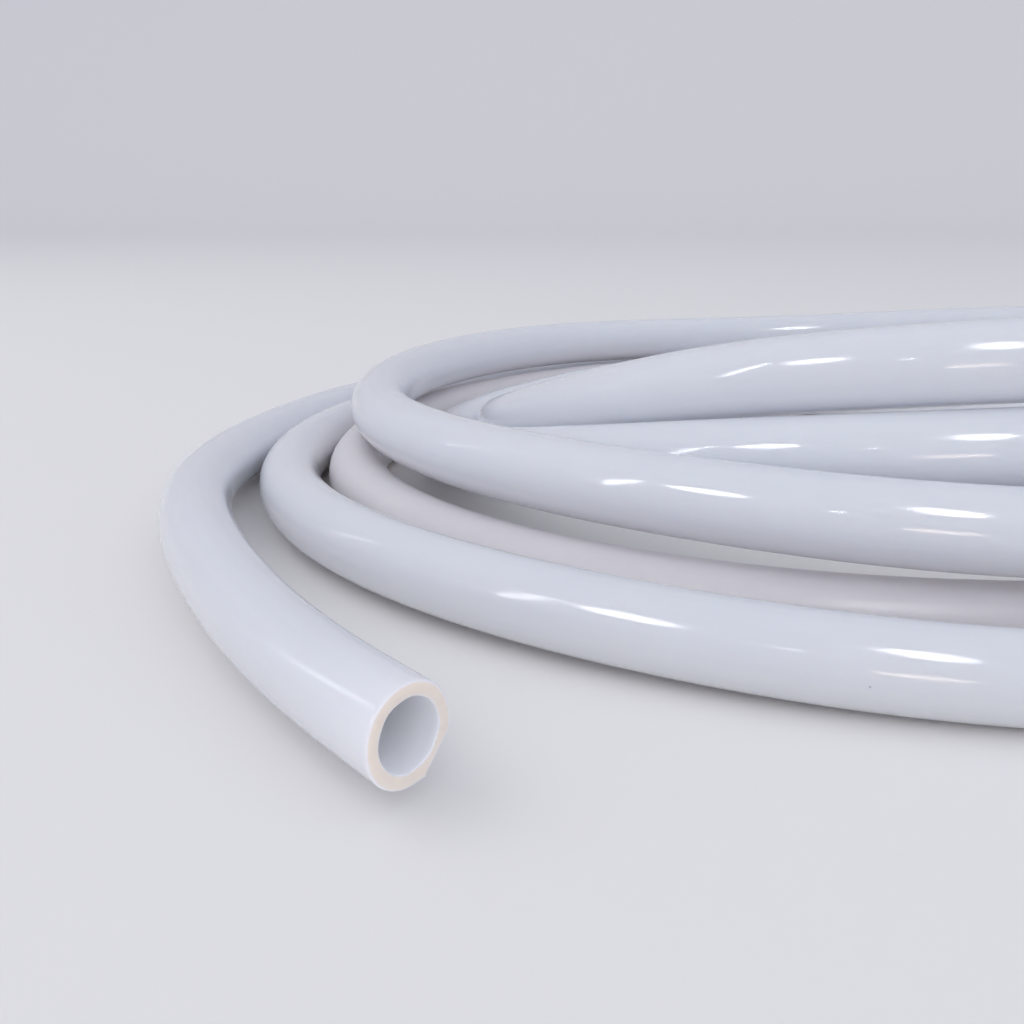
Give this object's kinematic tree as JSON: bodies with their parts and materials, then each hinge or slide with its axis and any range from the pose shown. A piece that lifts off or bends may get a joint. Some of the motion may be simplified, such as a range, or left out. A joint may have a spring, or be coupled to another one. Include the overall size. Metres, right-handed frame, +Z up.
{
  "type": "silicone tubing coil",
  "caption": "Loose coil of soft translucent tubing lying flat, its turns stacked at one side, with an open square-cut end.",
  "frame": {"origin": "on the surface that the coil lies on, below the middle of the whole coil", "axes": "+Z up; seen from above the tubing runs clockwise from its free outer end at the front left (-X, -Y) to its inner end"},
  "size_m": [0.226, 0.229, 0.0392],
  "materials": {
    "silicone": "milky translucent, smooth and glossy"
  },
  "bodies": {
    "root": {"tubing": "silicone"}
  },
  "joints": []
}
